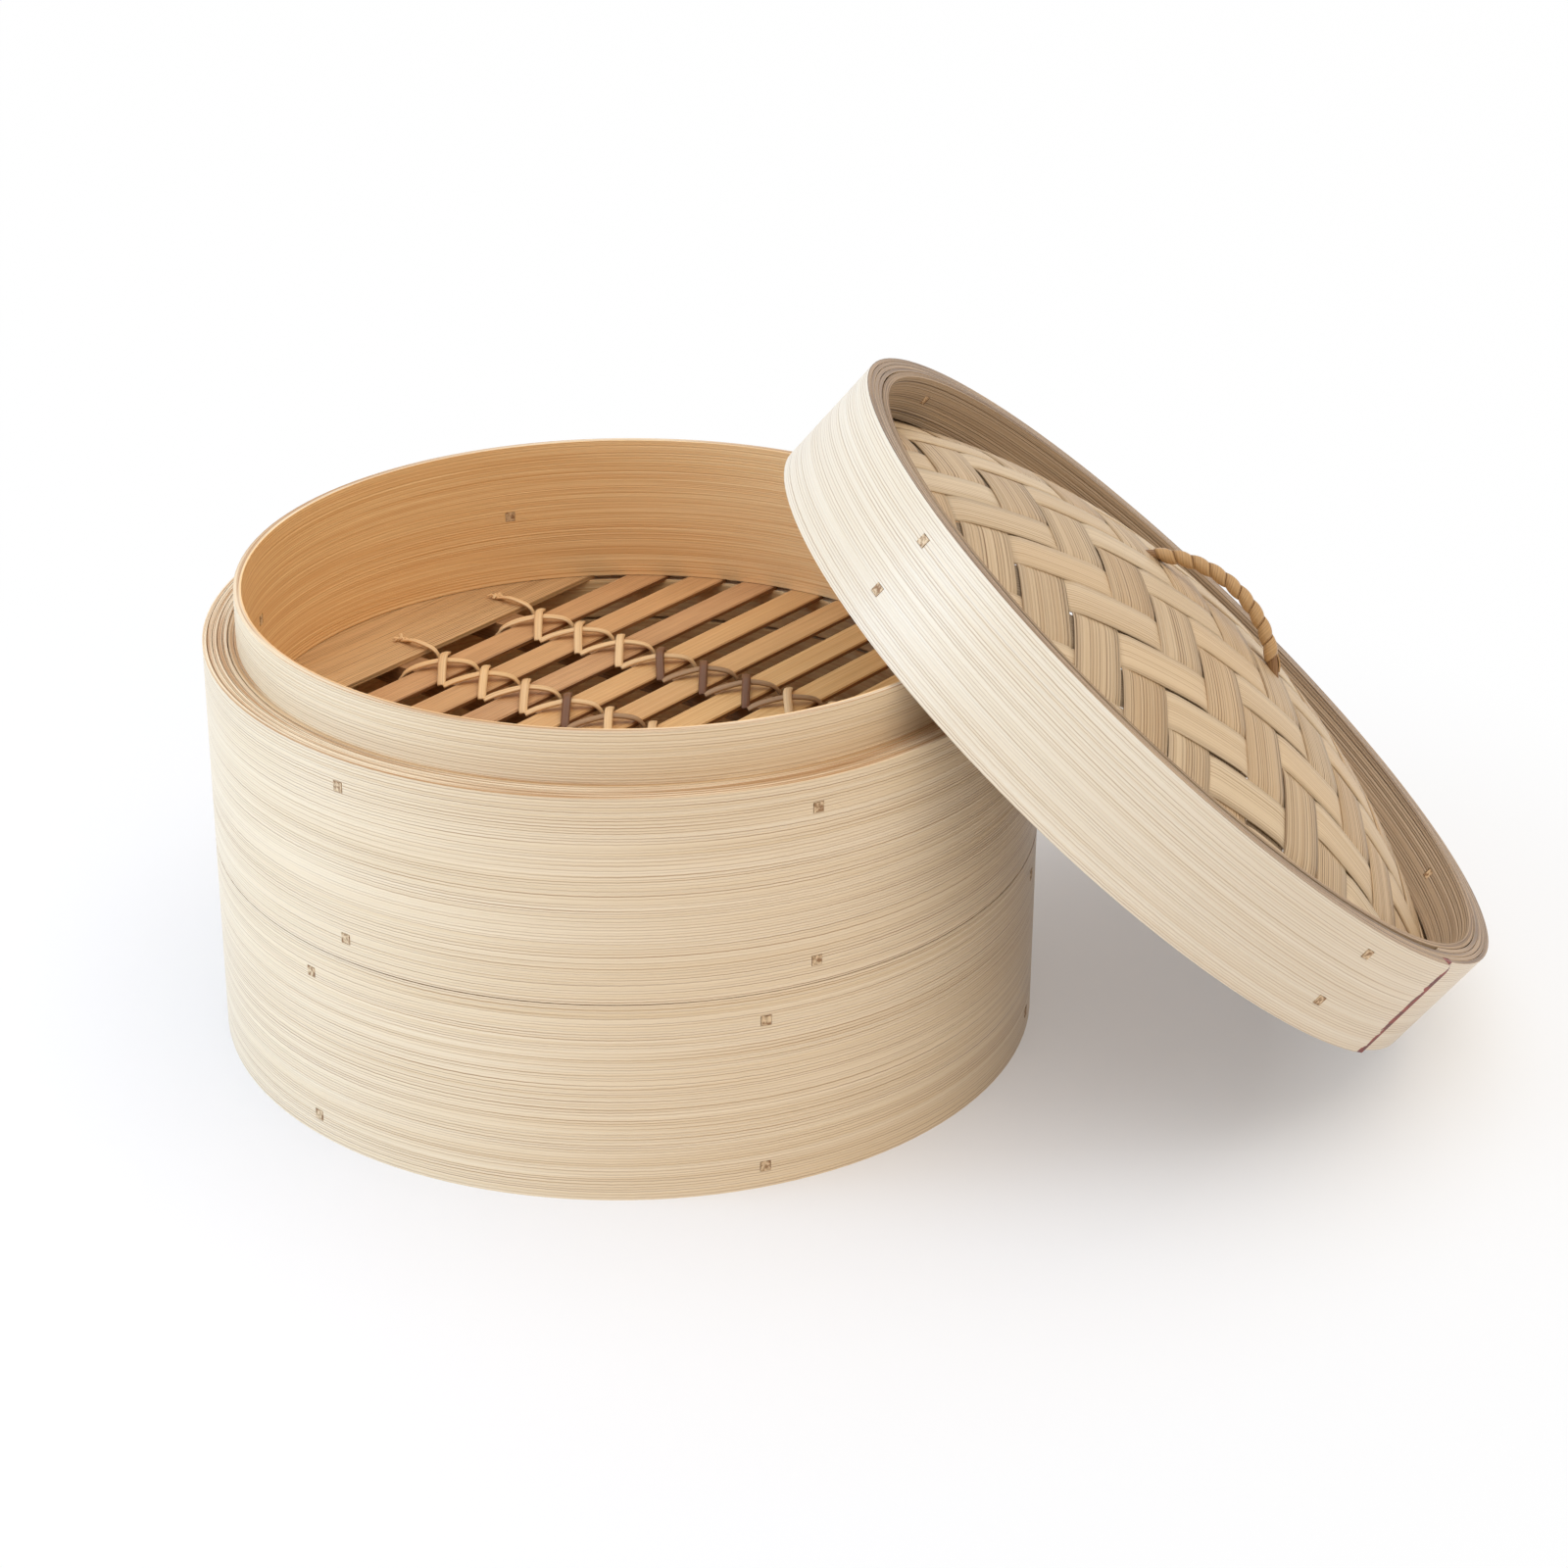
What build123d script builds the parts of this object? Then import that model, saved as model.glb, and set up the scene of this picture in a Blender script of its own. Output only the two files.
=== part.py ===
from build123d import *
import math
import os

# Bamboo steamer: two identical basket tiers, one on the other, and a woven
# lid that leans on them. Millimetres, +Z up, table at z = 0, the tiers' axis
# on Z. The lid leans against the +X side, its dome turned away from the tiers.

# Tier walls
tier_radius = 128.0
tier_height = 63.5
ledge_width = 11.5
collar_thickness = 2.4
collar_rise = 15.4
recess_depth = 16.0
backing_relief = 0.6
strip_thickness = 1.3
strip_gap = 0.2
tier_turns = 5
tier_strip_end = 105.0

# Clearances
nest_clearance = 0.3
seat_gap = 0.3
winding_clearance = 0.35
joint_clearance = 0.15
tuck_clearance = 0.2
rest_clearance = 0.1

# Steaming floor
floor_top = 31.0
slat_thickness = 1.5
slat_width = 10.9
slat_count = 9
slat_angle = 49.5
slat_edge_break = 0.4
plate_width = 33.7
plate_gap = 8.85
floor_inset = 0.3
bar_width = 10.0
bar_thickness = 7.0
bar_spacing = 45.6
bar_offset = -8.5
ring_gap_over_recess = 0.3

# Lashings
cane_width = 2.4
cane_thickness = 0.7
cane_half_span = 9.0
cane_bow = 0.9
tail_reach = 16.5

# Pegs
peg_side = 3.0
peg_proud = 0.15
tier_peg_azimuths = (-129.5, -65.5, -8.0, 52.0, 109.0, 168.5)
tier_peg_low = 7.0
tier_peg_drop = 8.7
lid_peg_azimuths = (-147.0, -65.0, 6.5, 72.0, 139.0)
lid_peg_low = 11.0
lid_peg_drop = 7.5

# Stacking
lower_turn = -7.0

# Lid
lid_overhang = 3.0
lid_height = 37.7
lid_turns = 4
lid_strip_end = -46.5
lid_hoop_thickness = 2.15
lid_corner_round = 4.0
lead_in = 1.8
dome_rise = 15.6
dome_drop = 16.7
dome_edge_inset = 1.3
dome_thickness = 1.4
lid_tilt = 40.94
lean_clearance = 0.54

# Handle on the dome, in the lid's own axes
handle_middle_x = 1.1
handle_middle_y = 7.15
handle_turn = -24.0
handle_arc_radius = 37.0
handle_rise = 8.7
handle_half_angle = 49.0
handle_core_radius = 1.6
wrap_half_angle = 36.0
wrap_pitch = 4.7
wrap_gap = 0.6
wrap_thickness = 0.6
wrap_clearance = 0.15
wrap_steps_per_turn = 16

# Sizes that follow from the ones above
collar_radius = tier_radius - ledge_width
lid_radius = tier_radius + lid_overhang
collar_inner_radius = collar_radius - collar_thickness
strip_pitch = strip_thickness + strip_gap
recess_radius = collar_radius + nest_clearance
backing_inner_radius = recess_radius + backing_relief
seat_radius = backing_inner_radius - joint_clearance
tier_strip_start = tier_radius - tier_turns * strip_pitch - strip_thickness
backing_outer_radius = tier_strip_start - winding_clearance
lid_strip_start = lid_radius - lid_turns * strip_pitch - strip_thickness
lid_hoop_outer_radius = lid_strip_start - winding_clearance
lid_hoop_radius = lid_hoop_outer_radius - lid_hoop_thickness
floor_radius = collar_radius - floor_inset
plate_chord = floor_radius - plate_width
slat_pitch = 2 * (plate_chord - plate_gap - slat_width / 2) / (slat_count - 1)
tier_peg_high = tier_height - tier_peg_drop
lid_peg_high = lid_height - lid_peg_drop
dome_apex = lid_height + dome_rise
dome_edge_height = lid_height - dome_drop
dome_edge_radius = lid_hoop_radius - dome_edge_inset
handle_arc_top = dome_apex + handle_rise
slat_bottom = floor_top - slat_thickness
bar_bottom = slat_bottom - bar_thickness
ring_bottom = recess_depth + ring_gap_over_recess
peg_hole_side = peg_side + 2 * joint_clearance
upper_level = tier_height + seat_gap
dome_edge_bottom = dome_edge_height - dome_thickness


def hoop(inner, outer, bottom, top):
    return Pos(0, 0, bottom) * extrude(Circle(outer) - Circle(inner), amount=top - bottom)


def wound_strip(start_radius, turns, height, end_angle):
    # One strip rolled up on half circles about two centres half a pitch apart.
    inner_edges = []
    outer_edges = []
    for half_turn in range(2 * turns):
        radius = start_radius + half_turn * strip_pitch / 2
        centre = (strip_pitch / 2 * (half_turn % 2), 0)
        start_angle = 180 * (half_turn % 2)
        inner_edges.append(CenterArc(centre, radius, start_angle, 180))
        outer_edges.append(CenterArc(centre, radius + strip_thickness, start_angle, 180))
    end_radius = start_radius + turns * strip_pitch
    first_end = Line((start_radius, 0), (start_radius + strip_thickness, 0))
    last_end = Line((end_radius, 0), (end_radius + strip_thickness, 0))
    outline = make_face(inner_edges + outer_edges + [first_end, last_end])
    return Rot(0, 0, end_angle) * extrude(outline, amount=height)


def strip_reach(start_radius, turns, end_angle, azimuth):
    # Distance from the axis to the outside of the rolled strip at an azimuth.
    local = math.radians((azimuth - end_angle) % 360)
    radius = start_radius + (turns - 1) * strip_pitch + strip_thickness
    if local <= math.pi:
        return radius
    shift = strip_pitch / 2
    across = math.sqrt((radius + shift) ** 2 - (shift * math.sin(local)) ** 2)
    return shift * math.cos(local) + across


def radial_bar(azimuth, height, inner, outer, side):
    bar = Box(outer - inner, side, side)
    return Rot(0, 0, azimuth) * Pos((inner + outer) / 2, 0, height) * bar


def winding_gap(start_radius, turns):
    # Least gap between the strip's outside and the next turn's inside.
    least = strip_pitch
    for step in range(360 * (turns - 1)):
        angle = math.radians(step % 360)
        turn = step // 360
        lower = step % 360 >= 180
        centre_x = strip_pitch / 2 if lower else 0
        radius = start_radius + (2 * turn + (1 if lower else 0)) * strip_pitch / 2
        outside = (centre_x + (radius + strip_thickness) * math.cos(angle),
                   (radius + strip_thickness) * math.sin(angle))
        inside = (centre_x + (radius + strip_pitch) * math.cos(angle),
                  (radius + strip_pitch) * math.sin(angle))
        least = min(least, math.dist(outside, inside))
    return least


def cane_over(start, end, height, start_foot, end_foot, bow):
    # A cane strip that rises at start, crosses over at height and goes down at end.
    run = math.dist(start, end)
    along = ((end[0] - start[0]) / run, (end[1] - start[1]) / run)
    side = Plane(origin=(start[0], start[1], 0), x_dir=(along[0], along[1], 0),
                 z_dir=(along[1], -along[0], 0))
    half = cane_thickness / 2
    outline = Polyline(
        (-half, start_foot),
        (-half, height + cane_thickness),
        (run / 2, height + cane_thickness + bow),
        (run + half, height + cane_thickness),
        (run + half, end_foot),
        (run - half, end_foot),
        (run - half, height),
        (run / 2, height + bow),
        (half, height),
        (half, start_foot),
        close=True,
    )
    return extrude(side * make_face(outline), amount=cane_width / 2, both=True)


def cane_under(start, end, height):
    run = math.dist(start, end)
    turn = math.degrees(math.atan2(end[1] - start[1], end[0] - start[0]))
    strap = Box(run + cane_thickness, cane_width, cane_thickness)
    middle = ((start[0] + end[0]) / 2, (start[1] + end[1]) / 2)
    return Pos(middle[0], middle[1], height) * Rot(0, 0, turn) * strap


def make_lashing():
    # One cane over every slat: two crossing runs on top, two straps under the bar.
    first_strap = bar_bottom - rest_clearance - cane_thickness / 2
    second_strap = first_strap - cane_thickness
    foot = second_strap - cane_thickness / 2
    crossing_height = floor_top + rest_clearance
    over_height = crossing_height + cane_thickness + cane_bow
    near_x = -cane_half_span
    far_x = cane_half_span
    runs = []
    for slat in range(slat_count):
        middle = (slat - (slat_count - 1) / 2) * slat_pitch
        left = middle + slat_pitch / 2
        right = middle - slat_pitch / 2
        runs.append(cane_over((near_x, left), (far_x, right), crossing_height, foot, foot, cane_bow))
        runs.append(cane_over((near_x, right), (far_x, left), over_height, foot, foot, 0.0))
        runs.append(cane_under((far_x, right), (near_x, right), first_strap))
        runs.append(cane_under((far_x, left), (near_x, right), second_strap))
    reach = slat_count * slat_pitch / 2
    tail = reach + tail_reach
    runs.append(cane_over((far_x, tail), (far_x, reach), crossing_height, slat_bottom, foot, cane_bow))
    runs.append(cane_over((near_x, -reach), (near_x, -tail), crossing_height, foot, slat_bottom, cane_bow))
    return runs[0].fuse(*runs[1:])


def make_tier():
    # Every piece of one tier, standing on z = 0.
    pieces = {}
    top = tier_height + collar_rise
    collar = hoop(collar_inner_radius, seat_radius, floor_top + tuck_clearance, tier_height)
    collar = collar + hoop(collar_inner_radius, collar_radius, tier_height, top)
    backing = hoop(backing_inner_radius, backing_outer_radius, 0, tier_height)
    backing = backing + hoop(recess_radius, backing_outer_radius, 0, recess_depth)
    band = wound_strip(tier_strip_start, tier_turns, tier_height, tier_strip_end)
    ring = hoop(collar_inner_radius, seat_radius, ring_bottom, slat_bottom)

    holes = []
    pegs = []
    for azimuth in tier_peg_azimuths:
        reach = strip_reach(tier_strip_start, tier_turns, tier_strip_end, azimuth) + peg_proud
        for height, inner in ((tier_peg_low, recess_radius + joint_clearance),
                              (tier_peg_high, collar_inner_radius)):
            pegs.append(radial_bar(azimuth, height, inner, reach, peg_side))
            holes.append(radial_bar(azimuth, height, inner - peg_side, reach + peg_side, peg_hole_side))

    turn = Rot(0, 0, slat_angle)
    bar_notches = []
    bars = []
    for place in (-1, 0, 1):
        offset = bar_offset + place * bar_spacing
        outside = abs(offset) + bar_width / 2
        half = math.sqrt(floor_radius ** 2 - outside ** 2)
        bar = Box(bar_width, 2 * half, bar_thickness)
        seat = turn * Pos(offset, 0, bar_bottom + bar_thickness / 2)
        bars.append(seat * bar)
        notch = Box(bar_width + 2 * joint_clearance, 2 * tier_radius, bar_thickness)
        bar_notches.append(seat * notch)

    pieces["collar_hoop"] = collar - holes
    pieces["backing_hoop"] = backing - holes
    pieces["wound_band"] = band - holes
    pieces["floor_ring"] = ring - bar_notches

    slat_middle = slat_bottom + slat_thickness / 2
    floor_disc = Pos(0, 0, slat_bottom) * extrude(Circle(floor_radius), amount=slat_thickness)
    for slat in range(slat_count):
        across = (slat - (slat_count - 1) / 2) * slat_pitch
        blank = Box(2 * tier_radius, slat_width, slat_thickness)
        long_edges = blank.edges().filter_by(Axis.X).group_by(Axis.Z)[-1]
        blank = chamfer(long_edges, slat_edge_break)
        pieces[f"slat_{slat + 1}"] = turn * (floor_disc & (Pos(0, across, slat_middle) * blank))

    lashing = make_lashing()
    tail_hole = (cane_width + cane_thickness) / 2 + joint_clearance
    tail_y = slat_count * slat_pitch / 2 + tail_reach
    for name, edge in (("right", -1), ("left", 1)):
        keep = Pos(0, edge * (plate_chord + floor_radius / 2), slat_middle)
        plate = floor_disc & (keep * Box(2 * floor_radius, floor_radius, 2 * slat_thickness))
        for place in (-1, 0, 1):
            x = bar_offset + place * bar_spacing + edge * cane_half_span
            hole = Cylinder(tail_hole, 3 * slat_thickness)
            plate = plate - Pos(x, edge * tail_y, slat_middle) * hole
        pieces[f"edge_plate_{name}"] = turn * plate

    for place in (-1, 0, 1):
        number = place + 2
        pieces[f"crossbar_{number}"] = bars[place + 1]
        offset = bar_offset + place * bar_spacing
        pieces[f"lashing_{number}"] = turn * Pos(offset, 0, 0) * lashing

    pieces["pegs"] = Compound(pegs)
    return pieces


def make_dome():
    rise = dome_apex - dome_edge_height
    ball = (dome_edge_radius ** 2 + rise ** 2) / (2 * rise)
    centre = dome_apex - ball
    inner_ball = ball - dome_thickness
    inner_edge = math.sqrt(inner_ball ** 2 - (dome_edge_bottom - centre) ** 2)
    half_angle = math.asin(dome_edge_radius / ball) / 2
    outer_middle = (ball * math.sin(half_angle), centre + ball * math.cos(half_angle))
    inner_middle = (inner_ball * math.sin(half_angle), centre + inner_ball * math.cos(half_angle))
    rim = lid_hoop_outer_radius
    outline = [
        ThreePointArc((0, dome_apex), outer_middle, (dome_edge_radius, dome_edge_height)),
        Line((dome_edge_radius, dome_edge_height), (rim, dome_edge_height)),
        Line((rim, dome_edge_height), (rim, dome_edge_bottom)),
        Line((rim, dome_edge_bottom), (inner_edge, dome_edge_bottom)),
        ThreePointArc((inner_edge, dome_edge_bottom), inner_middle, (0, dome_apex - dome_thickness)),
        Line((0, dome_apex - dome_thickness), (0, dome_apex)),
    ]
    return revolve(Plane.XZ * make_face(outline), Axis.Z)


def handle_plane():
    turn = math.radians(handle_turn)
    along = (math.cos(turn), math.sin(turn), 0)
    across = (math.sin(turn), -math.cos(turn), 0)
    base = handle_arc_top - handle_arc_radius
    return Plane(origin=(handle_middle_x, handle_middle_y, base), x_dir=along, z_dir=across)


def handle_rod(radius):
    arc = handle_plane() * CenterArc((0, 0), handle_arc_radius, 90 - handle_half_angle, 2 * handle_half_angle)
    return sweep((arc ^ 0) * Circle(radius), path=arc)


def wrap_point(arc_angle, wind_angle, radius):
    # A point beside the handle's arc, wind_angle round it from its outer side.
    out = handle_arc_radius + radius * math.cos(wind_angle)
    return (out * math.sin(arc_angle), out * math.cos(arc_angle), radius * math.sin(wind_angle))


def make_wrap():
    plane = handle_plane()
    inner = handle_core_radius + wrap_clearance
    outer = inner + wrap_thickness
    half_width = (wrap_pitch - wrap_gap) / 2 / handle_arc_radius
    per_turn = wrap_pitch / handle_arc_radius
    start = -math.radians(wrap_half_angle) + half_width
    travel = 2 * (math.radians(wrap_half_angle) - half_width)
    turns = travel / per_turn
    steps = round(turns * wrap_steps_per_turn)
    sections = []
    edges = []
    for step in range(steps + 1):
        arc_angle = start + travel * step / steps
        wind_angle = 2 * math.pi * turns * step / steps
        before = arc_angle - half_width
        after = arc_angle + half_width
        corners = [wrap_point(before, wind_angle, inner), wrap_point(after, wind_angle, inner),
                   wrap_point(after, wind_angle, outer), wrap_point(before, wind_angle, outer)]
        edges.append(corners)
        world = [plane.from_local_coords(Vector(*corner)) for corner in corners]
        sections.append(Wire(Polyline(*world, close=True).edges()))
    least = wrap_pitch
    for step in range(len(edges) - wrap_steps_per_turn + 1):
        for later in range(step + wrap_steps_per_turn - 2, min(step + wrap_steps_per_turn + 3, len(edges))):
            for mine in (1, 2):
                for theirs in (0, 3):
                    least = min(least, math.dist(edges[step][mine], edges[later][theirs]))
    print("handle wrap:", round(turns, 2), "turns, least gap", round(least, 3), "mm")
    return Solid.make_loft(sections, ruled=True)


def make_lid():
    # Every piece of the lid with its open face on z = 0 and the dome upwards.
    pieces = {}
    upper = hoop(lid_hoop_radius, lid_hoop_outer_radius, dome_edge_height, lid_height)
    lower = hoop(lid_hoop_radius, lid_hoop_outer_radius, 0, dome_edge_bottom)
    mouth = lower.edges().filter_by(GeomType.CIRCLE).group_by(Axis.Z)[0].sort_by(SortBy.RADIUS)[0]
    lower = chamfer(mouth, lead_in)
    band = wound_strip(lid_strip_start, lid_turns, lid_height, 0)
    corner = band.edges().filter_by(Axis.X).group_by(Axis.Z)[-1].sort_by(Axis.X)[-1]
    band = Rot(0, 0, lid_strip_end) * fillet(corner, lid_corner_round)

    holes = []
    pegs = []
    for azimuth in lid_peg_azimuths:
        reach = strip_reach(lid_strip_start, lid_turns, lid_strip_end, azimuth) + peg_proud
        for height in (lid_peg_low, lid_peg_high):
            pegs.append(radial_bar(azimuth, height, lid_hoop_radius + peg_proud, reach, peg_side))
            holes.append(radial_bar(azimuth, height, lid_hoop_radius - peg_side, reach + peg_side, peg_hole_side))

    pieces["upper_hoop"] = upper - holes
    pieces["lower_hoop"] = lower - holes
    pieces["wound_band"] = band - holes
    pieces["woven_dome"] = make_dome() - handle_rod(handle_core_radius + joint_clearance)
    pieces["handle_core"] = handle_rod(handle_core_radius)
    pieces["handle_wrap"] = make_wrap()
    pieces["pegs"] = Compound(pegs)
    return pieces


os.makedirs("parts", exist_ok=True)

tier = make_tier()
for name, piece in tier.items():
    export_step(Rot(0, 0, lower_turn) * piece, f"parts/lower_{name}.step")
    export_step(Pos(0, 0, upper_level) * piece, f"parts/upper_{name}.step")

lid_foot = strip_reach(lid_strip_start, lid_turns, lid_strip_end, 0)
lid_centre_z = lid_foot * math.sin(math.radians(lid_tilt)) + rest_clearance
lean = math.radians(lid_tilt)
climb = upper_level + tier_height + collar_rise - lid_centre_z
mouth_radius = lid_hoop_radius + lead_in - lean_clearance
contact_x = math.sqrt(collar_radius ** 2 + (climb / math.sin(lean)) ** 2 - mouth_radius ** 2)
lid_centre_x = contact_x + climb / math.tan(lean)
lid_place = Pos(lid_centre_x, 0, lid_centre_z) * Rot(0, lid_tilt, 0)
lid = make_lid()
for name, piece in lid.items():
    export_step(lid_place * piece, f"parts/lid_{name}.step")

print("tier band: least gap", round(winding_gap(tier_strip_start, tier_turns), 3), "mm")
print("lid band: least gap", round(winding_gap(lid_strip_start, lid_turns), 3), "mm")
print("lid centre", round(lid_centre_x, 3), 0.0, round(lid_centre_z, 3), "mm")
print("nodes", 2 * len(tier) + len(lid))
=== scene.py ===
# %% [markdown]
# # A bamboo steamer with its lid leaning on the stack
#
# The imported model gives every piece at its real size. This scene dresses it:
# split bamboo for the walls and the floor, cane ties over the slats, a dome
# of interlaced strips and a small cane handle. Sizes are in metres.

# %% Load the frame
import bpy
import bmesh
import math
import random
from mathutils import Matrix, Vector


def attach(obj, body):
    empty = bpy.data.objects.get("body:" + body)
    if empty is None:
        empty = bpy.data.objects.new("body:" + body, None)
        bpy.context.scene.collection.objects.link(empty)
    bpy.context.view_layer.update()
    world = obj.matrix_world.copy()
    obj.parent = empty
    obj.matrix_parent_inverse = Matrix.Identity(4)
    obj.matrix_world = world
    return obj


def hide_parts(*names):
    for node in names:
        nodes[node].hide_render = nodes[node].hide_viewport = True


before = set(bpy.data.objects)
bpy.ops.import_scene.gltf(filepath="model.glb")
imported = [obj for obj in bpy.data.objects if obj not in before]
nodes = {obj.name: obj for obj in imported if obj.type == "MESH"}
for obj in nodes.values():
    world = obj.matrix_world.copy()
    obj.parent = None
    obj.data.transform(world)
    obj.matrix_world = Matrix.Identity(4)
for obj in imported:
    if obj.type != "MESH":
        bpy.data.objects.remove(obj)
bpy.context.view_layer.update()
MM = 0.001

# %% [markdown]
# ## The pieces' own axes
#
# Both tiers stand on the Z axis, the lower one turned a little. Their floors
# run at an angle to the camera. The lid has axes of its own: its open face
# leans on the table and on the upper collar, and its dome looks up and to
# the right. Patterns and new pieces are laid out in these axes, because a
# pattern is far easier to place on a piece that stands straight.

# %% Axes of the floors and of the lid
slat_angle = 49.5
slat_count = 9
slat_pitch = 17.05 * MM
lower_turn = -7.0
upper_level = 63.8 * MM
floor_top = 31.0 * MM
lid_tilt = 40.94
lid_centre = Vector((146.197, 0, 84.957)) * MM

upright = Matrix.Identity(4)
lower_floor = Matrix.Rotation(math.radians(lower_turn + slat_angle), 4, "Z")
upper_floor = Matrix.Rotation(math.radians(slat_angle), 4, "Z")
upper_floor = Matrix.Translation((0, 0, upper_level)) @ upper_floor
lid_axes = Matrix.Translation(lid_centre) @ Matrix.Rotation(math.radians(lid_tilt), 4, "Y")
print("lid axis", [round(v, 3) for v in lid_axes.to_3x3().col[2]])

# %% [markdown]
# ## Camera
#
# The photograph is taken from a metre away with a long lens, about 25 degrees
# above the table. The place and the lens come from fitting the rims'
# ellipses, so the render lines up with the photo.

# %% Camera
camera_data = bpy.data.cameras.new("Camera")
camera_data.sensor_width = 36
camera_data.lens = 81.05
camera = bpy.data.objects.new("Camera", camera_data)
camera_place = Vector((-0.0015, -0.98736, 0.54259))
forward = Vector((0.04582, 0.90132, -0.43072)).normalized()
up = Vector((0.0148, 0.43051, 0.90247)).normalized()
right = forward.cross(up).normalized()
up = right.cross(forward)
camera.matrix_world = Matrix((
    (right.x, up.x, -forward.x, camera_place.x),
    (right.y, up.y, -forward.y, camera_place.y),
    (right.z, up.z, -forward.z, camera_place.z),
    (0, 0, 0, 1),
))
bpy.context.scene.collection.objects.link(camera)
bpy.context.scene.camera = camera
bpy.context.scene.view_settings.view_transform = "Standard"
print("lens", camera_data.lens, "mm")

# %% [markdown]
# ## Shader helpers
#
# Every material here is a small tree of nodes. These helpers add one node
# and wire its inputs in a single line, so that a finish reads as a recipe:
# remap stretches a value, blend mixes two colours and calc does one sum.

# %% Shader helpers
def node(tree, kind, inputs=None, **settings):
    made = tree.nodes.new("ShaderNode" + kind)
    for key, value in settings.items():
        setattr(made, key, value)
    for key, value in (inputs or {}).items():
        if isinstance(value, bpy.types.NodeSocket):
            tree.links.new(value, made.inputs[key])
        else:
            made.inputs[key].default_value = value
    return made


def calc(tree, operation, *values):
    return node(tree, "Math", dict(enumerate(values)), operation=operation).outputs[0]


def remap(tree, value, low, high, to_low=0.0, to_high=1.0):
    limits = {"From Min": low, "From Max": high, "To Min": to_low, "To Max": to_high}
    return node(tree, "MapRange", {"Value": value, **limits}).outputs[0]


def blend(tree, amount, first, second):
    return node(tree, "Mix", {0: amount, 6: first, 7: second}, data_type="RGBA").outputs[2]


print("helpers", [helper.__name__ for helper in (node, calc, remap, blend)])

# %% [markdown]
# Colours are written as they are seen on a screen, from 0 to 255, because
# that is how they are picked; srgb turns them into Blender's linear ones. A
# new material starts with its gloss: how rough it is and how strongly it
# mirrors.

# %% Colours and materials
def srgb(*channels):
    values = []
    for value in channels:
        value = value / 255
        values.append(value / 12.92 if value <= 0.04045 else ((value + 0.055) / 1.055) ** 2.4)
    return (*values, 1.0)


def material(name, roughness, specular=0.4):
    made = bpy.data.materials.new(name)
    made.use_nodes = True
    shader = made.node_tree.nodes["Principled BSDF"]
    shader.inputs["Roughness"].default_value = roughness
    shader.inputs["Specular IOR Level"].default_value = specular
    return made, made.node_tree, shader


print("a mid brown in linear light", [round(v, 3) for v in srgb(170, 120, 80)])

# %% [markdown]
# ## Table
#
# The stack stands on a plain white studio table that runs on into a white
# background. One big square is enough: the soft shadow is all it shows.

# %% Table
table_reach = 6.0
table_colour = (0.85, 0.86, 0.885, 1)
mesh = bpy.data.meshes.new("Table")
table_bm = bmesh.new()
bmesh.ops.create_grid(table_bm, x_segments=1, y_segments=1, size=table_reach)
table_bm.to_mesh(mesh)
table_bm.free()
table = bpy.data.objects.new("Table", mesh)
bpy.context.scene.collection.objects.link(table)
table_material, tree, shader = material("Table", roughness=0.6, specular=0.2)
shader.inputs["Base Color"].default_value = table_colour
mesh.materials.append(table_material)
print("table", table.name, 2 * table_reach, "m wide")

# %% [markdown]
# Looked at, straight or in a reflection, about a quarter of the table is a
# plain white glow near the stack, and nearly all of it far away. Near the
# stack that glow is painted light: it keeps the shadow as light as bounced
# studio light does, with no more light on the object. Close to the stack the
# glow is slightly warm, painted warm light thrown back by the bamboo.

# %% White of the table
white = (1, 1, 1, 1)
painted_bounce_white = (1.0, 0.95, 0.92, 1)
white_share_near, white_share_far = 0.28, 0.98


def seen_ray(tree):
    ray = node(tree, "LightPath").outputs
    either = calc(tree, "MAXIMUM", ray["Is Camera Ray"], ray["Is Glossy Ray"])
    return calc(tree, "MAXIMUM", either, ray["Is Transmission Ray"])


spot = node(tree, "TexCoord").outputs["Object"]
away = node(tree, "VectorMath", {0: spot}, operation="LENGTH").outputs["Value"]
share = remap(tree, away, 0.2, 0.4, white_share_near, white_share_far)
# Painted warm bounce light close to the stack, fading to white further out.
tint = blend(tree, remap(tree, away, 0.16, 0.28), painted_bounce_white, white)
painted_white_glow = node(tree, "Emission", {"Color": tint})
part_white = calc(tree, "MULTIPLY", seen_ray(tree), share)
mix = node(tree, "MixShader", {0: part_white, 1: shader.outputs[0], 2: painted_white_glow.outputs[0]})
tree.links.new(mix.outputs[0], tree.nodes["Material Output"].inputs["Surface"])
print("white share of the table", white_share_near, "to", white_share_far)

# %% [markdown]
# ## Light
#
# The room is a soft box, brightest overhead, a little brighter in front than
# behind, and warmer on the right. The camera sees plain white behind the
# table.

# %% Room
room_left = (0.47, 0.51, 0.59, 1)
room_right = (0.80, 0.70, 0.56, 1)
overhead_level = 3.9
behind_level = 0.7
world = bpy.data.worlds.new("Studio")
bpy.context.scene.world = world
world.use_nodes = True
tree = world.node_tree
tree.nodes.clear()
direction = node(tree, "SeparateXYZ", {0: node(tree, "TexCoord").outputs["Generated"]})
to_right = remap(tree, direction.outputs[0], -0.55, 0.55)
room = node(tree, "Background", {"Color": blend(tree, to_right, room_left, room_right)})
level = remap(tree, direction.outputs[2], 0.7, 0.9, 1.0, overhead_level)
front = remap(tree, direction.outputs[1], 0.3, -0.7, behind_level, 1.0)
tree.links.new(calc(tree, "MULTIPLY", level, front), room.inputs["Strength"])
backdrop = node(tree, "Background", {"Color": white})
mix = node(tree, "MixShader", {0: seen_ray(tree), 1: room.outputs[0], 2: backdrop.outputs[0]})
node(tree, "OutputWorld", {"Surface": mix.outputs[0]})
print("room", world.name, "overhead", overhead_level)

# %% [markdown]
# Two wide lamps on the left, one high and one low, make the left of the walls
# lightest and let a soft shadow fall to the right, under the lid.

# %% Lamps
stack_middle = (0, 0, 0.08)


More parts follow.
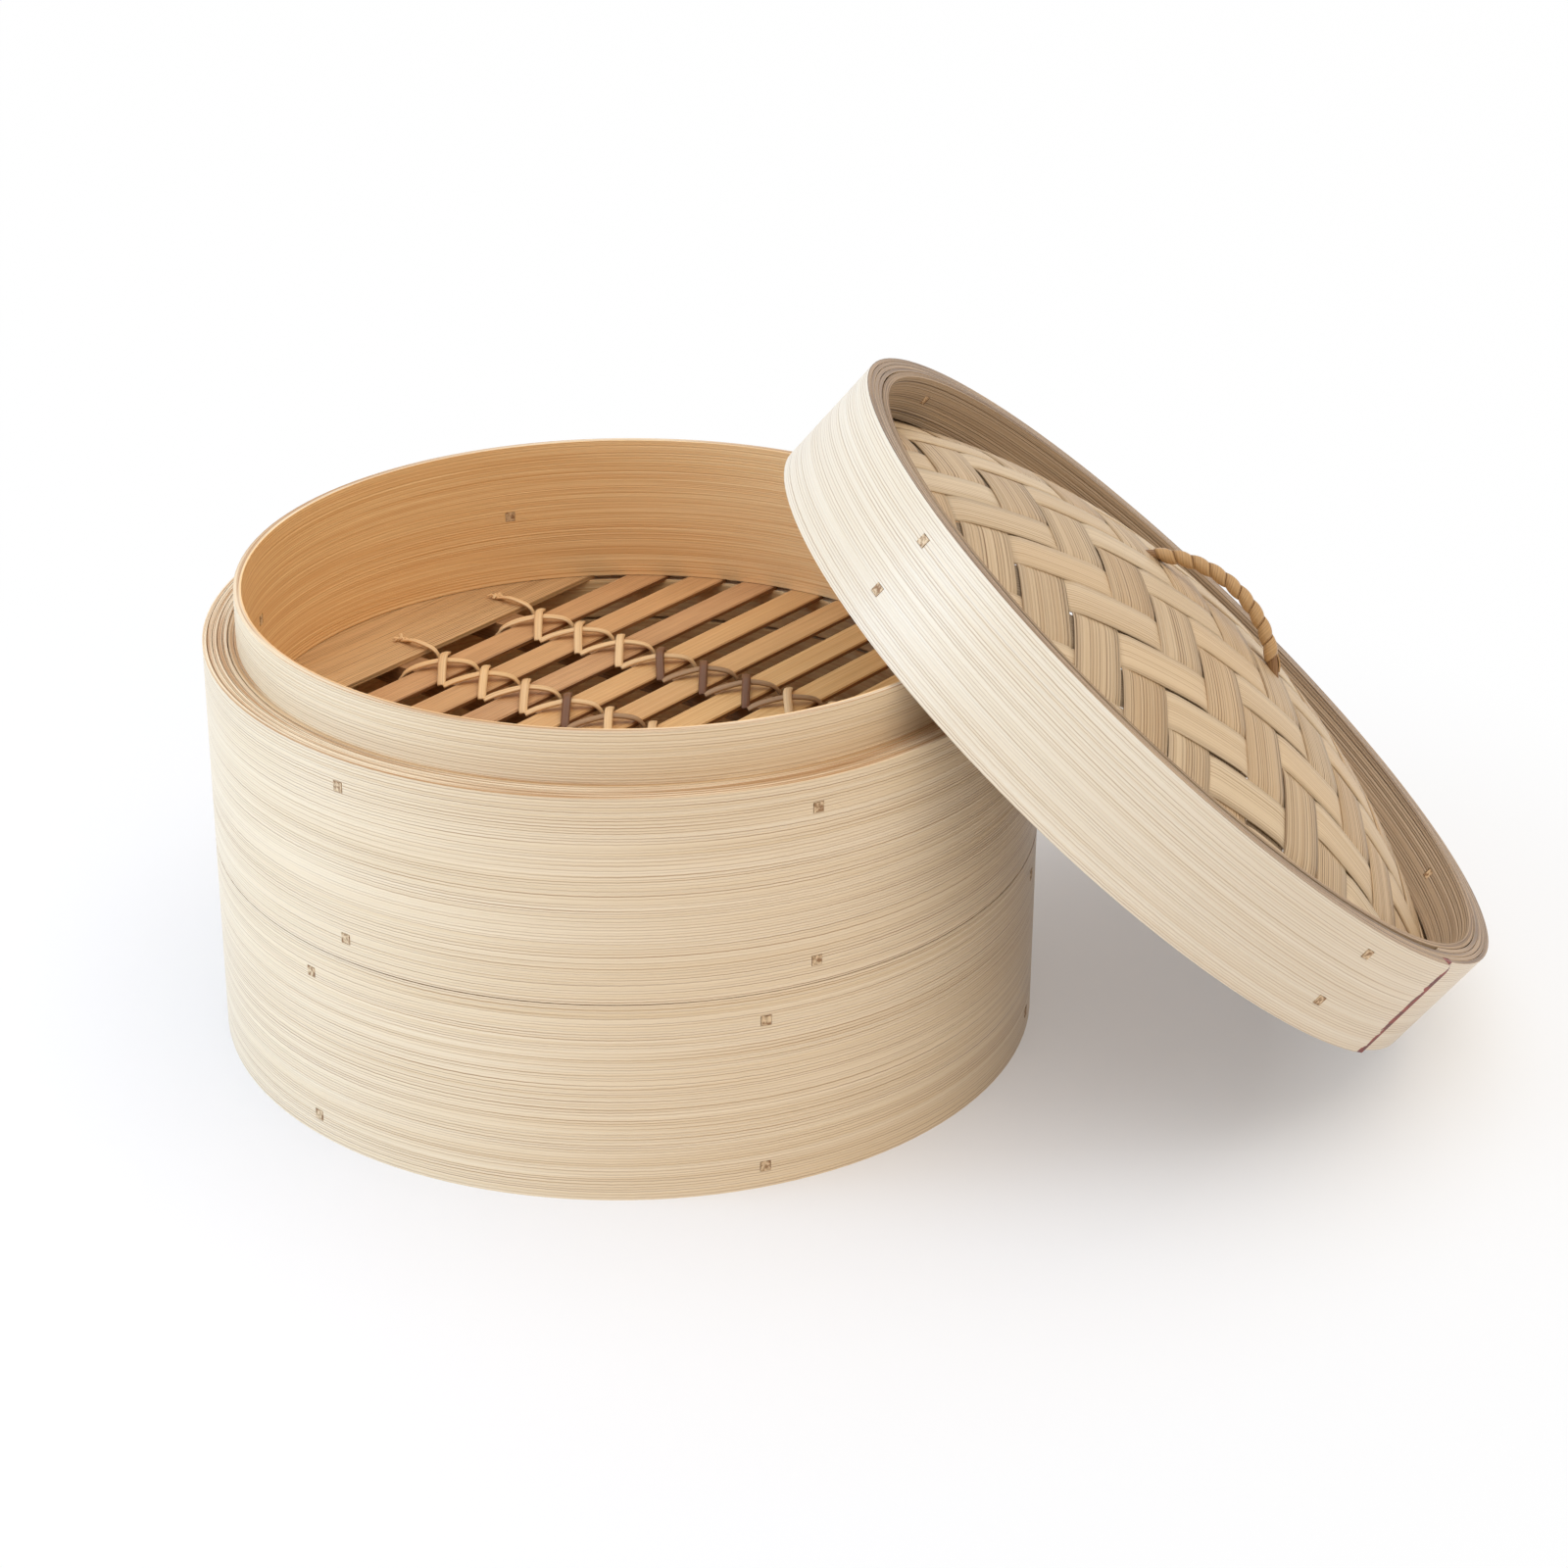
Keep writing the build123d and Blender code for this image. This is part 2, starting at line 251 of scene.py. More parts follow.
def soft_light(name, place, size, power, colour):
    data = bpy.data.lights.new(name, "AREA")
    data.shape = "DISK"
    data.size = size
    data.energy = power
    data.color = colour
    light = bpy.data.objects.new(name, data)
    light.location = place
    aim = Vector(stack_middle) - Vector(place)
    light.rotation_euler = aim.to_track_quat("-Z", "Y").to_euler()
    bpy.context.scene.collection.objects.link(light)
    print("lamp", name, power, "W")


soft_light("High left", (-1.6, -0.5, 1.1), size=1.1, power=6.0, colour=(0.84, 0.94, 1.0))
soft_light("Low left", (-1.9, -0.1, 0.55), size=1.0, power=20, colour=(0.43, 0.69, 1.0))

# %% [markdown]
# ## Bamboo
#
# Split bamboo is a bundle of straight fibres. Close up it shows darker lines
# less than a millimetre apart, that wander slightly and fade in and out, on a
# ground that changes tone slowly. Nearly every finish here needs that, so it
# becomes one shader group with named sockets. Its raw material is noise that
# is drawn out along the fibre.

# %% Group and noise helpers
COLOUR, FLOAT, VECTOR = "NodeSocketColor", "NodeSocketFloat", "NodeSocketVector"


def new_group(name, inputs, outputs):
    tree = bpy.data.node_groups.new(name, "ShaderNodeTree")
    for socket, kind in inputs:
        tree.interface.new_socket(name=socket, in_out="INPUT", socket_type=kind)
    for socket, kind in outputs:
        tree.interface.new_socket(name=socket, in_out="OUTPUT", socket_type=kind)
    return tree, tree.nodes.new("NodeGroupInput"), tree.nodes.new("NodeGroupOutput")


def fibre_noise(tree, vector, along, across, shift):
    """Noise drawn out along the fibre; shift sets one noise apart from another."""
    scaled = node(tree, "VectorMath", {0: vector, 1: (along, along, across)}, operation="MULTIPLY")
    apart = (shift, shift * 0.7, shift * 1.3)
    moved = node(tree, "VectorMath", {0: scaled.outputs[0], 1: apart}, operation="ADD")
    settings = {"Vector": moved.outputs[0], "Scale": 1.0, "Detail": 2.0, "Roughness": 0.6}
    return node(tree, "TexNoise", settings).outputs[0]


print("sockets", COLOUR, FLOAT, VECTOR)

# %% [markdown]
# The group works from a position in millimetres: two numbers along the fibre
# and one across it. A sine across the fibre gives the even spacing, and noise
# bends it, because noise alone looks blotchy and a sine alone looks printed.

# %% Bamboo fibre group
line_turn = 7.2  # radians per millimetre, which makes a line every 0.87 mm
line_bend = 12.0  # radians, at the most, by which the noise moves a line
grain_share, broad_share = 0.65, 0.35
fibre, enter, leave = new_group(
    "Bamboo fibre",
    [("Vector", VECTOR), ("Pale", COLOUR), ("Deep", COLOUR), ("Line", COLOUR), ("Lines", FLOAT)],
    [("Color", COLOUR), ("Height", FLOAT)],
)
place = enter.outputs["Vector"]
across = node(fibre, "SeparateXYZ", {0: place}).outputs[2]
bend = calc(fibre, "MULTIPLY", fibre_noise(fibre, place, 0.004, 0.3, 3.1), line_bend)
ridge = calc(fibre, "SINE", calc(fibre, "MULTIPLY_ADD", across, line_turn, bend))
line = remap(fibre, ridge, 0.15, 1.0)
fade = remap(fibre, fibre_noise(fibre, place, 0.005, 0.8, 40.9), 0.36, 0.64, 0.05, 1.0)
grain = remap(fibre, fibre_noise(fibre, place, 0.003, 1.3, 27.3), 0.32, 0.68)
broad = remap(fibre, fibre_noise(fibre, place, 0.005, 0.1, 11.7), 0.28, 0.72)
fine_tone = calc(fibre, "MULTIPLY", grain, grain_share)
tone = calc(fibre, "MULTIPLY_ADD", broad, broad_share, fine_tone)
ground = blend(fibre, tone, enter.outputs["Pale"], enter.outputs["Deep"])
drawn = calc(fibre, "MULTIPLY", calc(fibre, "MULTIPLY", line, fade), enter.outputs["Lines"])
fibre.links.new(blend(fibre, drawn, ground, enter.outputs["Line"]), leave.inputs["Color"])
fibre.links.new(calc(fibre, "SUBTRACT", grain, drawn), leave.inputs["Height"])
print("fibre group nodes", len(fibre.nodes))

# %% [markdown]
# ## Bamboo on the walls
#
# Walls are strips bent round an axis, so the fibres run round it: height and
# distance from the axis count as across, the place in plan counts as along.
# There is no angle in it, so there is no seam where an angle would jump.

# %% Places on the walls
radius_weight = 1.3


def centred(tree, axes):
    coordinates = node(tree, "TexCoord").outputs["Object"]
    placed = {"Vector": coordinates, "Location": axes.to_translation(), "Rotation": axes.to_euler()}
    return node(tree, "Mapping", placed, vector_type="TEXTURE").outputs[0]


def radius_of(tree, axes):
    local = node(tree, "SeparateXYZ", {0: centred(tree, axes)})
    flat = node(tree, "CombineXYZ", {0: local.outputs[0], 1: local.outputs[1]}).outputs[0]
    return local, node(tree, "VectorMath", {0: flat}, operation="LENGTH").outputs["Value"]


def in_millimetres(tree, vector):
    settings = {0: vector, "Scale": 1 / MM}
    return node(tree, "VectorMath", settings, operation="SCALE").outputs[0]


def wall_vector(tree, axes):
    local, radius = radius_of(tree, axes)
    across = calc(tree, "MULTIPLY_ADD", radius, radius_weight, local.outputs[2])
    joined = node(tree, "CombineXYZ", {0: local.outputs[0], 1: local.outputs[1], 2: across})
    return in_millimetres(tree, joined.outputs[0])


def round_stack(tree):
    return wall_vector(tree, upright)


def round_lid(tree):
    return wall_vector(tree, lid_axes)


print("distance from the axis counts", radius_weight, "times as across")

# %% [markdown]
# A finish lays the fibre group over such places, in colours of its own. The
# group's height gives the fibres a faint relief.

# %% Bamboo on the walls
fibre_depth = 0.3 * MM


def fibre_finish(tree, shader, vector, colours, lines, bump):
    group = node(tree, "Group", {}, node_tree=fibre)
    tree.links.new(vector, group.inputs["Vector"])
    for socket, value in zip(("Pale", "Deep", "Line"), colours):
        group.inputs[socket].default_value = srgb(*value)
    group.inputs["Lines"].default_value = lines
    tree.links.new(group.outputs["Color"], shader.inputs["Base Color"])
    height = {"Strength": bump, "Distance": fibre_depth, "Height": group.outputs["Height"]}
    tree.links.new(node(tree, "Bump", height).outputs[0], shader.inputs["Normal"])


def bamboo(name, vector_of, colours, lines, roughness, bump):
    made, tree, shader = material(name, roughness)
    fibre_finish(tree, shader, vector_of(tree), colours, lines, bump)
    return made


band_colours = ((244, 224, 194), (230, 203, 164), (160, 112, 64))
lid_colours = ((241, 227, 205), (230, 210, 181), (172, 132, 88))
hoop_colours = ((208, 185, 156), (166, 142, 116), (88, 68, 50))
wall_band = bamboo("Tier band", round_stack, band_colours, lines=0.8, roughness=0.4, bump=0.5)
collar = bamboo("Tier collar", round_stack, band_colours, lines=0.6, roughness=0.42, bump=0.4)
backing = bamboo("Tier backing", round_stack, band_colours, lines=0.55, roughness=0.45, bump=0.4)
lid_band = bamboo("Lid band", round_lid, lid_colours, lines=0.65, roughness=0.4, bump=0.4)
lid_hoop = bamboo("Lid hoop", round_lid, hoop_colours, lines=1.0, roughness=0.5, bump=0.6)
print("wall materials", [m.name for m in (wall_band, collar, backing, lid_band, lid_hoop)])

# %% [markdown]
# ## Sawn edges and inner faces
#
# The strips' sawn edges differ from their faces, and so do their inner sides.
# A mask from the surface's direction, or from the distance to the axis, lays
# another colour over the wall's own, so one material still serves the whole
# hoop.

# %% Masks and layers
soft_edge = 0.2 * MM


def layer_colour(made, mask_of, colour_of):
    """Lays colour_of over the material's colour where mask_of is 1."""
    tree = made.node_tree
    shader = tree.nodes["Principled BSDF"]
    below = shader.inputs["Base Color"].links[0].from_socket
    covered = blend(tree, mask_of(tree), below, colour_of(tree))
    tree.links.new(covered, shader.inputs["Base Color"])


def edge_mask(axes, low=0.6, high=0.85):
    def mask_of(tree):
        inputs = {0: node(tree, "TexCoord").outputs["Normal"], 1: axes.to_3x3().col[2]}
        facing = node(tree, "VectorMath", inputs, operation="DOT_PRODUCT").outputs["Value"]
        return remap(tree, facing, low, high)
    return mask_of


def inner_mask(axes, limit, strength):
    def mask_of(tree):
        radius = radius_of(tree, axes)[1]
        return remap(tree, radius, limit - soft_edge, limit + soft_edge, strength, 0.0)
    return mask_of


def ring_colour(axes, first, second, across):
    def colour_of(tree):
        stripes = fibre_noise(tree, wall_vector(tree, axes), 0.012, across, 5.5)
        return blend(tree, remap(tree, stripes, 0.38, 0.62), srgb(*first), srgb(*second))
    return colour_of


print("masks are soft over", soft_edge / MM, "mm")

# %% [markdown]
# On a tier's ledge the turns alternate between cream and tan. On the lid's
# rim they have darkened with use. The collar's inside is the culm's inner
# side, painted more golden: partly that side's own colour, partly painted
# warm light bounced round inside the tier.

# %% Edges and inner faces
ledge_edge = ring_colour(upright, (240, 220, 190), (186, 142, 98), 1.0)
backing_edge = ring_colour(upright, (224, 196, 158), (184, 140, 94), 1.2)
rim_edge = ring_colour(lid_axes, (182, 152, 118), (112, 84, 58), 0.9)
sawn = (
    (wall_band, upright, ledge_edge),
    (collar, upright, ledge_edge),
    (backing, upright, backing_edge),
    (lid_band, lid_axes, rim_edge),
    (lid_hoop, lid_axes, rim_edge),
)
for made, axes, edge_colour in sawn:
    layer_colour(made, edge_mask(axes), edge_colour)

collar_inside = 114.6 * MM
# Partly the inner side's own colour, partly painted bounce light.
inner_side_and_bounce = ring_colour(upright, (252, 212, 154), (238, 188, 126), 1.1)
layer_colour(collar, inner_mask(upright, collar_inside, 0.85), inner_side_and_bounce)
print("sawn edges on", len(sawn), "materials")

# %% [markdown]
# ## The strip's end on the lid
#
# On the lid the outer strip's cut end shows: a dark red-brown line of old
# glue, a little uneven. It is a colour where the surface lies close to the
# plane of that end and as far out as the last turn.

# %% Strip end on the lid
lid_strip_end = math.radians(-46.5)
lid_radius = 131.0 * MM
turn_depth = 3.0 * MM
glue_reach = (1.6 * MM, 4.0 * MM)
end_tangent = Vector((-math.sin(lid_strip_end), math.cos(lid_strip_end), 0))
end_outward = Vector((math.cos(lid_strip_end), math.sin(lid_strip_end), 0))


def end_mask(tree):
    local = centred(tree, lid_axes)
    past = node(tree, "VectorMath", {0: local, 1: end_tangent}, operation="DOT_PRODUCT")
    out = node(tree, "VectorMath", {0: local, 1: end_outward}, operation="DOT_PRODUCT")
    uneven = node(tree, "TexNoise", {"Vector": local, "Scale": 220.0, "Detail": 3.0}).outputs[0]
    reach = remap(tree, uneven, 0.35, 0.65, *glue_reach)
    away = calc(tree, "ABSOLUTE", past.outputs["Value"])
    inside = remap(tree, calc(tree, "SUBTRACT", reach, away), 0.0, soft_edge)
    last_turn = lid_radius - turn_depth
    outer = remap(tree, out.outputs["Value"], last_turn - soft_edge, last_turn)
    return calc(tree, "MULTIPLY", inside, outer)


def glue_colour(tree):
    settings = {"Vector": centred(tree, lid_axes), "Scale": 300.0}
    spots = node(tree, "TexNoise", settings).outputs[0]
    return blend(tree, remap(tree, spots, 0.4, 0.6), srgb(146, 36, 6), srgb(98, 20, 3))


layer_colour(lid_band, end_mask, glue_colour)
print("strip end at", round(math.degrees(lid_strip_end), 1), "degrees")

# %% [markdown]
# ## A waxy skin
#
# The bands' outer faces are the culm's own waxy skin: seen at a slant they
# pale towards white. A thin coat does that. Sawn edges and glue have none.

# %% Waxy skin
wax_roughness = 0.3


def wax(made, amount, bare):
    """Coats the material, except where one of the bare masks is 1."""
    tree = made.node_tree
    shader = tree.nodes["Principled BSDF"]
    weight = amount
    for mask_of in bare:
        weight = calc(tree, "MULTIPLY", weight, calc(tree, "SUBTRACT", 1.0, mask_of(tree)))
    tree.links.new(weight, shader.inputs["Coat Weight"])
    shader.inputs["Coat Roughness"].default_value = wax_roughness
    print("wax on", made.name)


wax(wall_band, 0.4, [edge_mask(upright)])
wax(lid_band, 0.35, [edge_mask(lid_axes), end_mask])

# %% [markdown]
# ## Dressing the hoops and bands
#
# Each imported node keeps its shape and takes a finish.

# %% Dress the walls
def dress(names, made):
    for name in names:
        nodes[name].data.materials.clear()
        nodes[name].data.materials.append(made)
    print(made.name, "on", len(names), "nodes")


dress(["lower_wound_band", "upper_wound_band"], wall_band)
dress(["lid_wound_band"], lid_band)
dress([n for n in nodes if n.endswith(("_collar_hoop", "_floor_ring"))], collar)
dress([n for n in nodes if n.endswith("_backing_hoop")], backing)
dress(["lid_upper_hoop", "lid_lower_hoop"], lid_hoop)

# %% [markdown]
# ## The steaming floor
#
# Slats, edge plates and crossbars are straight pieces, so their fibres run
# along one direction of the floor. One mask tells the slats apart by their
# number across the floor, another finds their sides by the surface's
# direction.

# %% Places and masks on the floors
slat_seed = 17.3


def floor_vector(tree, axes, lengthwise, stretch):
    local = node(tree, "SeparateXYZ", {0: centred(tree, axes)}).outputs
    along, across = (local[0], local[1]) if lengthwise else (local[1], local[0])
    across = calc(tree, "ADD", across, local[2])
    joined = node(tree, "CombineXYZ", {0: calc(tree, "MULTIPLY", along, stretch), 2: across})
    return in_millimetres(tree, joined.outputs[0])


def gold_and_painted_light_mask(axes):
    def mask_of(tree):
        local = node(tree, "SeparateXYZ", {0: centred(tree, axes)})
        number = calc(tree, "ROUND", calc(tree, "DIVIDE", local.outputs[1], slat_pitch))
        seed = {"W": calc(tree, "ADD", number, slat_seed)}
        chance = node(tree, "TexWhiteNoise", seed, noise_dimensions="1D").outputs["Value"]
        # A random tone per slat, plus painted light that rises towards one side.
        return calc(tree, "MULTIPLY_ADD", chance, 0.2, remap(tree, number, 2.0, -2.5, 0.0, 0.85))
    return mask_of


def plank_colour(axes, first, second):
    def colour_of(tree):
        stripes = fibre_noise(tree, floor_vector(tree, axes, True, 3.0), 0.004, 1.1, 5.5)
        return blend(tree, remap(tree, stripes, 0.36, 0.64), srgb(*first), srgb(*second))
    return colour_of


# Sides and undersides: partly the sawn wood's colour, partly painted shade.
def side_mask(tree):
    normal = node(tree, "SeparateXYZ", {0: node(tree, "TexCoord").outputs["Normal"]})
    return remap(tree, normal.outputs[2], 0.35, 0.8, 0.9, 0.0)


print("slat pitch", round(slat_pitch / MM, 2), "mm")

# %% [markdown]
# Each slat was split from another part of the culm and has a tone of its own,
# at random. The slats on one side are also painted lighter and more golden: a
# painted pool of the light that falls over the rim onto that side of the floor.
# The sawn sides and undersides are darker than the tops, partly the wood's own
# colour and partly painted shade. Both floors get the same finishes, each in
# its own axes, so that the fibres turn with the floor.

# %% Bamboo on the floors
slat_colours = ((212, 166, 120), (188, 141, 98), (128, 86, 52))
plate_colours = ((222, 184, 136), (196, 154, 106), (112, 74, 44))
bar_colours = ((176, 134, 94), (146, 104, 66), (106, 68, 38))


def floor_set(key, axes):
    slat = bamboo(key + " slat", lambda tree: floor_vector(tree, axes, True, 8.0),
                  slat_colours, lines=0.55, roughness=0.42, bump=0.35)
    # Gold laid by that mask: partly the slats' own tone, partly painted light.
    gold_and_painted_light = plank_colour(axes, (250, 206, 138), (226, 174, 106))
    sawn_side_and_shade = plank_colour(axes, (150, 98, 52), (112, 68, 36))
    layer_colour(slat, gold_and_painted_light_mask(axes), gold_and_painted_light)
    layer_colour(slat, side_mask, sawn_side_and_shade)
    plate = bamboo(key + " plate", lambda tree: floor_vector(tree, axes, True, 3.0),
                   plate_colours, lines=0.9, roughness=0.5, bump=0.5)
    bar = bamboo(key + " crossbar", lambda tree: floor_vector(tree, axes, False, 3.0),
                 bar_colours, lines=0.6, roughness=0.5, bump=0.3)
    dress([n for n in nodes if n.startswith(key + "_slat")], slat)
    dress([n for n in nodes if n.startswith(key + "_crossbar")], bar)
    dress([n for n in nodes if n.startswith(key + "_edge_plate")], plate)


floor_set("lower", lower_floor)
floor_set("upper", upper_floor)

# %% [markdown]
# ## Pegs
#
# Square bamboo pegs hold the layers together. Their ends show end grain:
# brown, with dark specks where the fibre bundles are cut.

# %% Pegs
peg_dark, peg_pale = srgb(152, 114, 78), srgb(228, 200, 162)
peg, tree, shader = material("Peg", roughness=0.6)
where = node(tree, "TexCoord").outputs["Object"]
specks = node(tree, "TexNoise", {"Vector": where, "Scale": 900.0, "Detail": 3.0}).outputs[0]
tint = blend(tree, remap(tree, specks, 0.4, 0.62), peg_dark, peg_pale)
tree.links.new(tint, shader.inputs["Base Color"])
dress([n for n in nodes if n.endswith("_pegs")], peg)

# %% [markdown]
# ## Ribbons
#
# Ties, weave and handle are all flat strips of split cane or bamboo. Each is
# a grid bent into place row by row, slightly crowned, and given thickness.
# The strip's length and width in millimetres go into its UV, and a tone of
# its own into a colour attribute, so one material serves many strips. Rows
# that lie under another strip may be given a painted shade in the same
# attribute.

# %% Ribbon helper
def ribbon(bm, rows, width, thickness, crown, tone, painted_shades=None, steps=4):
    """Adds one strip to bm. rows: (centre, side, normal), side and normal of unit length."""
    made = bmesh.ops.create_grid(bm, x_segments=len(rows) - 1, y_segments=steps, size=1.0)
    lengths = [0.0]
    for before, after in zip(rows, rows[1:]):
        lengths.append(lengths[-1] + (after[0] - before[0]).length)
    spots = {}
    tones = {}
    for vert in made["verts"]:
        row = round((vert.co.x + 1) / 2 * (len(rows) - 1))
        part = vert.co.y
        centre, side, normal = rows[row]
        vert.co = centre + side * (part * width / 2) - normal * (crown * part * part)
        spots[vert] = (lengths[row] / MM, part * width / 2 / MM)
        # Painted shade for a row that lies under another strip.
        stain_and_painted_shade = painted_shades[row] if painted_shades else 0.0
        tones[vert] = (tone[0] + (1 - tone[0]) * stain_and_painted_shade, tone[1] * (1 - stain_and_painted_shade), tone[2], 1.0)
    faces = list(dict.fromkeys(face for vert in made["verts"] for face in vert.link_faces))
    bmesh.ops.recalc_face_normals(bm, faces=faces)
    middle = faces[len(faces) // 2]
    near = min(rows, key=lambda row: (row[0] - middle.calc_center_median()).length)
    if middle.normal.dot(near[2]) < 0:
        bmesh.ops.reverse_faces(bm, faces=faces)
    uv = bm.loops.layers.uv.verify()
    colours = bm.loops.layers.float_color
    shade = colours.get("tone") or colours.new("tone")
    for face in faces:
        face.smooth = True
        for loop in face.loops:
            loop[uv].uv = spots[loop.vert]
            loop[shade] = tones[loop.vert]
    bmesh.ops.solidify(bm, geom=faces, thickness=thickness)


print("helper", ribbon.__name__, "takes rows of centre, side and normal")

# %% [markdown]
# A finished mesh becomes an object that rides on one of the part's bodies and
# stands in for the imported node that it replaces.

# %% Finished pieces
def finish_piece(name, bm, made, body, replaced):
    mesh = bpy.data.meshes.new(name)
    bm.to_mesh(mesh)
    bm.free()
    mesh.materials.append(made)
    piece = bpy.data.objects.new(name, mesh)
    bpy.context.scene.collection.objects.link(piece)
    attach(piece, body)
    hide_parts(*replaced)
    print(name, "faces", len(mesh.polygons))


# %% [markdown]
# ## The strips' finish
#
# The same fibre group serves the loose strips, fed from the UV instead of
# from a position. The tone attribute's first number darkens a strip, the
# second warms it and the third moves the pattern, so no two strips match. On
# the ties the darkening is a stain; in the weave it is painted shade where a
# strip lies under its neighbour, laid only on the upper faces, because a
# strip that dives under its neighbour is the one that shows from below.

# %% Strip material
pattern_shift = 900.0


def strip_material(name, colours, lines, across, roughness, bump, stain_and_painted_shade, warm, upper=None):
    made, tree, shader = material(name, roughness, specular=0.35)
    tone = node(tree, "Attribute", attribute_name="tone").outputs["Color"]
    tones = node(tree, "SeparateColor", {0: tone})
    flat = node(tree, "SeparateXYZ", {0: node(tree, "UVMap").outputs[0]})
    seed = calc(tree, "MULTIPLY", tones.outputs[2], pattern_shift)
    packed = calc(tree, "MULTIPLY_ADD", flat.outputs[1], across, seed)
    vector = node(tree, "CombineXYZ", {0: flat.outputs[0], 2: packed}).outputs[0]
    fibre_finish(tree, shader, vector, colours, lines, bump)
    layer_colour(made, lambda tree: tones.outputs[1], lambda tree: srgb(*warm))
    # Darkening by the first tone number: a stain on the ties, painted shade in the weave.
    darkness = tones.outputs[0]
    if upper:
        darkness = calc(tree, "MULTIPLY", darkness, edge_mask(upper, -0.1, 0.1)(tree))
    layer_colour(made, lambda tree: darkness, lambda tree: srgb(*stain_and_painted_shade))
    return made


cane_colours = ((244, 212, 166), (226, 186, 136), (160, 112, 70))
cane = strip_material("Tie cane", cane_colours, lines=0.35, across=0.8, roughness=0.42, bump=0.3,
                      stain_and_painted_shade=(86, 36, 20), warm=(230, 186, 128))
print("material", cane.name)

# %% [markdown]
# ## The ties
#
# One cane runs along each crossbar. It comes up beside a slat, goes flat over
# it towards the front, turns back in the next gap and arches over the next
# slat before it dives again, so every slat carries a cross. On the left plate
# its end is knotted and frayed. A smooth curve through a few points gives
# each strand, and the strand's own direction turns the ribbon.

# %% Tie strands
path_steps = 6


def smooth_path(points, per_span):
    """Points on a Catmull-Rom curve through the given ones."""
    ends = [points[0] * 2 - points[1], *points, points[-1] * 2 - points[-2]]
    path = []
    for a, b, c, d in zip(ends, ends[1:], ends[2:], ends[3:]):
        for step in range(per_span):
            t = step / per_span
            bent = (2 * a - 5 * b + 4 * c - d) * t * t + (3 * b - a - 3 * c + d) * t ** 3
            path.append(0.5 * ((2 * b) + (c - a) * t + bent))
    path.append(points[-1])
    return path


def tie_rows(axes, points):
    path = smooth_path([Vector(point) * MM for point in points], path_steps)
    path = [axes @ point for point in path]
    lift = axes.to_3x3() @ Vector((0, 0, 1))
    rows = []
    for number, point in enumerate(path):
        ahead = path[min(number + 1, len(path) - 1)] - path[max(number - 1, 0)]
        side = lift.cross(ahead)
        if side.length < 0.25 * ahead.length and rows:
            side = rows[-1][1] * ahead.length
        side.normalize()
        if rows and side.dot(rows[-1][1]) < 0:
            side = -side
        normal = ahead.cross(side).normalized()
        if normal.z < 0:
            normal = -normal
        rows.append((point, side, normal))
    return rows


short = smooth_path([Vector((0, 0, 0)), Vector((1, 0, 0))], path_steps)
print("points on a short strand", len(short))

# %% [markdown]
# The knot on the left plate is a few short frayed ends, thrown out from one
# point. The seed keeps the throw the same on every run.

# %% Frayed knot
rng = random.Random(7)
frayed_ends = 6


def frayed_knot(bm, axes, x, y, z):
    for _ in range(frayed_ends):
        turn = rng.uniform(0, math.tau)
        reach = rng.uniform(1.6, 3.6)
        tip = (x + reach * math.cos(turn), y + reach * math.sin(turn), z + rng.uniform(-0.3, 0.9))
        middle = ((x + tip[0]) / 2, (y + tip[1]) / 2, z + 0.9)
        rows = tie_rows(axes, [(x, y, z), middle, tip])
        tone = (0.0, rng.uniform(0, 0.4), rng.random())
        ribbon(bm, rows, 1.1 * MM, 0.35 * MM, 0.1 * MM, tone)


print("frayed ends in a knot", frayed_ends)

# %% [markdown]
# The points of a strand are in millimetres: along the slats from the middle
# of the bar's row, across the slats, and up from the floor. Two strands cross
# each slat, the second arched over the first. Some strands have stained dark.

# %% Strands of one tie
cane_thickness = 0.6 * MM
cane_crown = 0.3 * MM
end_width, flat_width, arched_width = 2.0 * MM, 3.1 * MM, 2.7 * MM
flat_stain, arched_stain = 0.6, 0.88
top = floor_top / MM


def tie_end(bm, axes, bar):
    rows = tie_rows(axes, [
        (bar + 8.0, 93.4, top + 0.5), (bar + 7.7, 92.0, top + 1.2),
        (bar + 7.4, 87.0, top + 2.4), (bar + 8.6, 80.6, top + 1.1),
        (bar + 9.4, 78.4, top - 1.6), (bar + 9.5, 77.8, top - 5.0),
    ])
    ribbon(bm, rows, end_width, cane_thickness, cane_crown / 2, (0.0, 0.1, rng.random()))
    frayed_knot(bm, axes, bar + 8.0, 93.6, top + 0.6)


def flat_strand(axes, bar, y, sway, first):
    start = [(bar - 9.6, y + 8.5, top + 0.2)]
    if first:
        start = [(bar - 9.0, y + 9.8, top - 5.0), (bar - 8.8, y + 9.2, top - 1.0)]
    return tie_rows(axes, start + [
        (bar - 5.6, y + 5.6, top + 1.8), (bar + 1.0 + sway, y + 0.4, top + 3.0),
        (bar + 6.3, y - 5.2, top + 2.0), (bar + 8.4, y - 7.6, top - 0.6),
        (bar + 8.8, y - 8.4, top - 4.5),
    ])


def arched_strand(axes, bar, y, sway):
    return tie_rows(axes, [
        (bar + 9.6, y + 8.4, top - 4.5), (bar + 9.4, y + 7.4, top - 0.3),
        (bar + 8.5, y + 6.2, top + 1.4), (bar + 0.8 + sway, y + 0.4, top + 3.9),
        (bar - 7.6, y - 6.4, top + 1.5), (bar - 9.8, y - 8.4, top + 0.2),
    ])


print("floor top at", top, "mm")

# %% [markdown]
# A tie starts with its knotted end and then crosses slat after slat. Sway,
# warmth and pattern are drawn anew for each slat, so no two crosses match.

# %% Ties over the slats
tie_places = ((1, -54.1, (5,)), (2, -8.5, (3,)), (3, 37.1, (3, 4, 5)))


